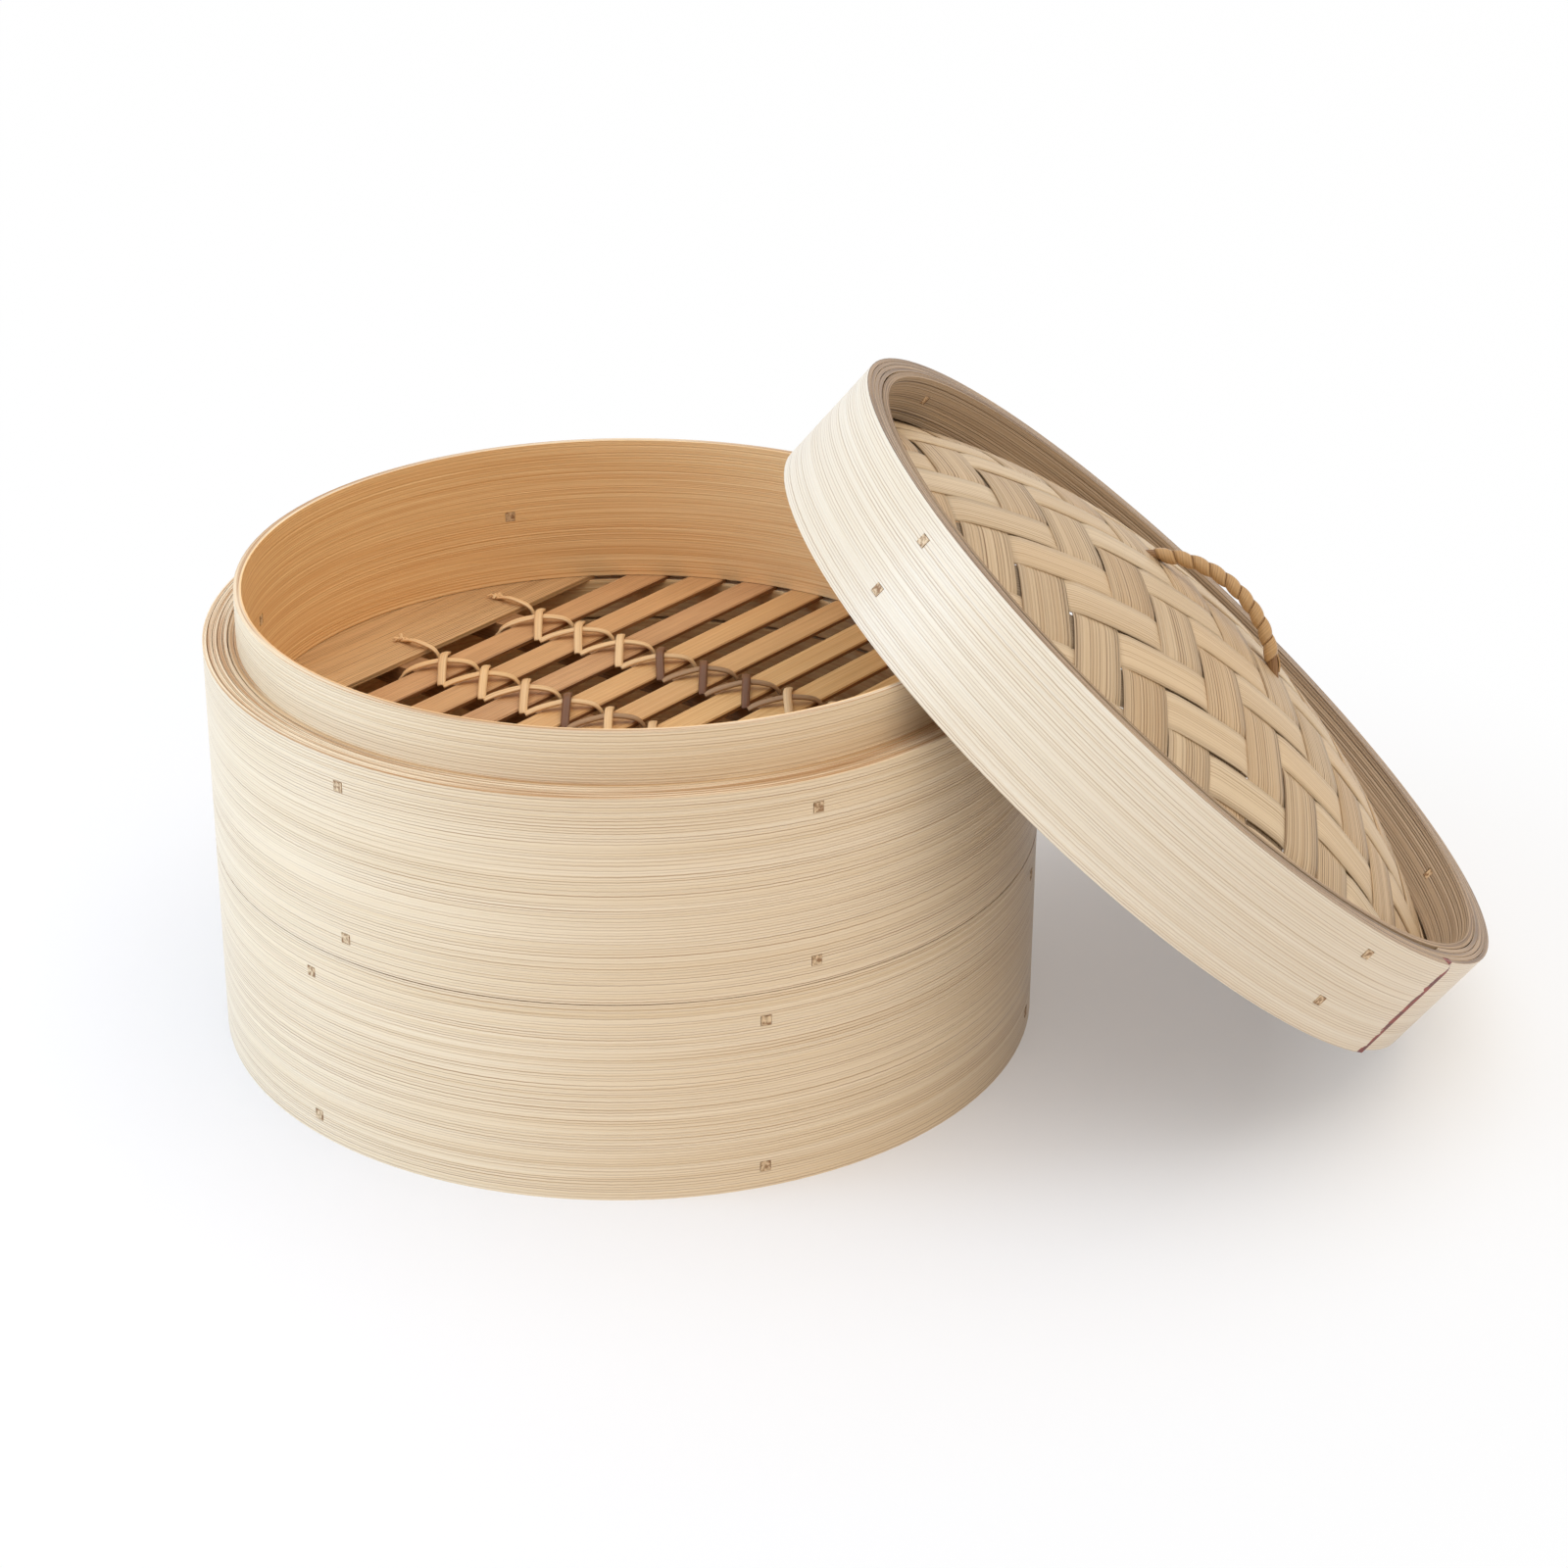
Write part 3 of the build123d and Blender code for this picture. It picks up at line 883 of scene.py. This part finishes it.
def tie(axes, bar, stained):
    bm = bmesh.new()
    tie_end(bm, axes, bar)
    for slat in range(slat_count):
        y = (slat_count // 2 - slat) * slat_pitch / MM
        sway = rng.uniform(-0.6, 0.6)
        warmth, seed = rng.uniform(0.0, 0.5), rng.random()
        rows = flat_strand(axes, bar, y, sway, slat == 0)
        dark = flat_stain if slat - 1 in stained else rng.uniform(0.0, 0.06)
        ribbon(bm, rows, flat_width, cane_thickness, cane_crown, (dark, warmth, seed))
        rows = arched_strand(axes, bar, y, sway)
        dark = arched_stain if slat in stained else rng.uniform(0.0, 0.06)
        ribbon(bm, rows, arched_width, cane_thickness, cane_crown, (dark, warmth * 0.6, 1 - seed))
    return bm


for key, axes in (("lower", lower_floor), ("upper", upper_floor)):
    for number, bar, stained in tie_places:
        bm = tie(axes, bar, stained)
        replaced = [f"{key}_lashing_{number}"]
        finish_piece(f"{key}_tie_{number}", bm, cane, f"{key}_tier", replaced)

# %% [markdown]
# ## The woven dome
#
# Two sets of wide strips cross at right angles over a shallow dome, over two
# and under two, each row one step on from the last, so the pattern runs in
# diagonals. The dome is a cap of a large ball: the width of its edge and the
# heights of its edge and top give the ball's radius.

# %% Layout of the weave
dome_apex = 53.3 * MM
dome_edge = 119.9 * MM
dome_edge_height = 21.0 * MM
weave_sink = 0.7 * MM
rise = dome_apex - dome_edge_height
ball = (dome_edge ** 2 + rise ** 2) / (2 * rise) - weave_sink
ball_centre = dome_apex - weave_sink - ball
weave_turn = Matrix.Rotation(math.radians(8.0), 3, "Z")
weave_pitch = (15.6 * MM, 15.7 * MM)
weave_offset = (-2.6 * MM, -1.9 * MM)
weave_end = 122.3 * MM
weave_width = 15.2 * MM


def strip_on_top(warp, weft):
    return (warp + weft + 1) % 4 in (0, 1)


def strip_edges(kind, number):
    """The two long edges of a strip; one beside the rim is cut narrower."""
    middle = weave_offset[kind] + weave_pitch[kind] * (number + 0.5)
    return [min(max(middle + side * weave_width / 2, -weave_end), weave_end) for side in (-1, 1)]


print("ball radius", round(ball, 4), "m")

# %% [markdown]
# Every strip follows the ball's surface and is lifted or sunk by nearly its
# own thickness where it passes over or under. Between two crossings it eases
# from one to the other, as bent bamboo does.

# %% Over and under
crossing_run = 0.5
WARP = 0


def ease(value):
    value = min(max(value, 0.0), 1.0)
    return value * value * (3 - 2 * value)


def weave_state(kind, number, along):
    """1 where the strip lies over the other set, -1 where it lies under."""
    other = 1 - kind
    spot = (along - weave_offset[other]) / weave_pitch[other] - 0.5
    before = math.floor(spot)
    states = []
    for crossing in (before, before + 1):
        pair = (number, crossing) if kind == WARP else (crossing, number)
        states.append(1.0 if strip_on_top(*pair) == (kind == WARP) else -1.0)
    part = ease((spot - before - 0.5) / crossing_run + 0.5)
    return states[0] + (states[1] - states[0]) * part


def dome_row(kind, along, across, lift):
    """The centre, side and normal of one row of a strip."""
    plan = Vector((across, along, 0)) if kind == WARP else Vector((along, across, 0))
    plan = weave_turn @ plan
    height = ball_centre + math.sqrt(ball ** 2 - plan.length_squared)
    normal = (plan + Vector((0, 0, height - ball_centre))).normalized()
    side = weave_turn @ (Vector((1, 0, 0)) if kind == WARP else Vector((0, 1, 0)))
    side = (side - normal * side.dot(normal)).normalized()
    centre = plan + Vector((0, 0, height)) + normal * lift
    turn = lid_axes.to_3x3()
    return lid_axes @ centre, turn @ side, turn @ normal


print("a warp's state at the middle", round(weave_state(WARP, 0, 0.0), 2))

# %% [markdown]
# The strips wander a little, so the gaps between neighbours open and close.
# What lies under is painted dark: painted shade, because little light gets into the gaps.

# %% Woven strips
weave_thickness = 0.5 * MM
weave_crown = 0.12 * MM
weave_lift = 0.45 * MM
weave_wander = 0.3 * MM
wander_length = 13 * MM
row_spacing = 2.0 * MM
painted_under_shade = 0.62


def woven_strip(bm, kind, number, tone, sway):
    edges = strip_edges(kind, number)
    middle = sum(edges) / 2
    reach = math.sqrt(weave_end ** 2 - middle ** 2)
    count = int(2 * reach / row_spacing)
    rows = []
    painted_shades = []
    for step in range(count + 1):
        along = -reach + 2 * reach * step / count
        across = middle + weave_wander * math.sin(along / wander_length + sway)
        state = weave_state(kind, number, along)
        rows.append(dome_row(kind, along, across, state * weave_lift))
        # Painted shade on the rows that lie under the other set.
        painted_shades.append(painted_under_shade * ease(-state * 1.2))
    ribbon(bm, rows, edges[1] - edges[0], weave_thickness, weave_crown, tone, painted_shades)


print("a row every", row_spacing / MM, "mm")

# %% [markdown]
# The strips of one direction are split from the culm's outside and strongly
# lined, the others are smoother. All of one direction make one piece.

# %% Woven dome
warp_colours = ((216, 194, 162), (188, 160, 126), (116, 84, 52))
weft_colours = ((228, 209, 180), (208, 186, 154), (156, 124, 90))
# The dark colour is painted shade under the crossings.
weave = {"roughness": 0.5, "stain_and_painted_shade": (66, 46, 32), "warm": (206, 164, 112), "upper": lid_axes}
warp_finish = strip_material("Warp strip", warp_colours, lines=0.9, across=0.8, bump=0.6, **weave)
weft_finish = strip_material("Weft strip", weft_colours, lines=0.7, across=0.75, bump=0.4, **weave)
narrowest = 2 * MM
strip_numbers = range(-9, 10)
rng = random.Random(21)
woven = (
    (WARP, "dome_warps", warp_finish, ["lid_woven_dome"]),
    (1 - WARP, "dome_wefts", weft_finish, []),
)
for kind, name, made, replaced in woven:
    bm = bmesh.new()
    for number in strip_numbers:
        edges = strip_edges(kind, number)
        if edges[1] - edges[0] > narrowest:
            tone = (rng.uniform(0, 0.06), rng.uniform(0, 0.25), rng.random())
            woven_strip(bm, kind, number, tone, rng.uniform(0, math.tau))
    finish_piece(name, bm, made, "lid", replaced)

# %% [markdown]
# ## The handle
#
# The handle is a small arch over the top of the dome. One helper gives any
# point on or beside the arch's line, because the wrap and the rod both follow
# it.

# %% Handle arch
handle_middle = Vector((1.1, 7.15, 0)) * MM
handle_turn = math.radians(-24.0)
arch_radius = 37.0 * MM
arch_base = 25.0 * MM
arch_along = Vector((math.cos(handle_turn), math.sin(handle_turn), 0))
arch_beside = Vector((math.sin(handle_turn), -math.cos(handle_turn), 0))


def arch_point(angle, wind, radius):
    """A point beside the arch's line: angle along it, wind round it."""
    out = arch_radius + radius * math.cos(wind)
    flat = handle_middle + arch_along * (out * math.sin(angle))
    flat = flat + arch_beside * (radius * math.sin(wind))
    return lid_axes @ (flat + Vector((0, 0, arch_base + out * math.cos(angle))))


print("top of the arch", [round(v, 4) for v in arch_point(0, 0, 0)])

# %% [markdown]
# A flat golden cane is wound round a bent rod, turn against turn, each turn
# bulging a little. The wrap is one long ribbon laid on the arch in a spiral,
# because its edges then close up as they do on the real one.

# %% Handle wrap
handle_colours = ((208, 172, 124), (180, 140, 94), (112, 74, 42))
handle_finish = strip_material("Handle cane", handle_colours, lines=0.45, across=0.9, bump=0.25,
                               roughness=0.35, stain_and_painted_shade=(70, 44, 24), warm=(200, 156, 100))
wrap_turns = 9
wrap_steps = 16
wrap_radius = 2.4 * MM
wrap_thickness = 0.5 * MM
wrap_crown = 0.5 * MM
wrap_tone = (0.0, 0.2, 0.4)
wrap_end = math.radians(40.0)
wrap_pitch = 2 * wrap_end / wrap_turns
wrap_width = wrap_pitch * arch_radius * 0.95
rows = []
for step in range(wrap_turns * wrap_steps + 1):
    wind = step / wrap_steps * math.tau
    angle = -wrap_end + wrap_pitch * step / wrap_steps
    centre = arch_point(angle, wind, wrap_radius)
    side = (arch_point(angle + 0.01, wind, wrap_radius) - centre).normalized()
    normal = (centre - arch_point(angle, wind, 0)).normalized()
    rows.append((centre, side, normal))
bm = bmesh.new()
ribbon(bm, rows, wrap_width, wrap_thickness, wrap_crown, wrap_tone, steps=6)
finish_piece("handle_cane", bm, handle_finish, "lid", ["lid_handle_wrap"])

# %% [markdown]
# The bent rod itself shows at both ends, where it goes through the weave, and
# as a dark line between the turns. Its colour is darker than the wrap's,
# partly the rod's own and partly painted shade for the gaps between the
# turns. A circle spun about the arch's centre makes it in one step.

# %% Handle rod
# Darker than the wrap: partly the rod's own colour, partly painted shade in the gaps.
rod_and_gap_shade_colours = ((160, 120, 76), (128, 90, 54), (84, 54, 30))
rod_finish = bamboo("Handle rod", round_lid, rod_and_gap_shade_colours, lines=0.6, roughness=0.5, bump=0.3)
rod_radius = 1.7 * MM
rod_sweep = math.radians(98.0)
rod_steps = 32
bm = bmesh.new()
bmesh.ops.create_circle(bm, segments=12, radius=rod_radius, cap_ends=True)
first = arch_point(-rod_sweep / 2, 0, 0)
heading = (arch_point(-rod_sweep / 2 + 0.05, 0, 0) - first).normalized()
rod_start = Matrix.Translation(first) @ heading.to_track_quat("Z", "Y").to_matrix().to_4x4()
bmesh.ops.transform(bm, matrix=rod_start, verts=bm.verts)
hub = lid_axes @ (handle_middle + Vector((0, 0, arch_base)))
over_top = lid_axes.to_3x3() @ -arch_beside
bmesh.ops.spin(bm, geom=bm.faces[:], cent=hub, axis=over_top, angle=rod_sweep, steps=rod_steps)
bmesh.ops.recalc_face_normals(bm, faces=bm.faces)
finish_piece("handle_rod", bm, rod_finish, "lid", ["lid_handle_core"])
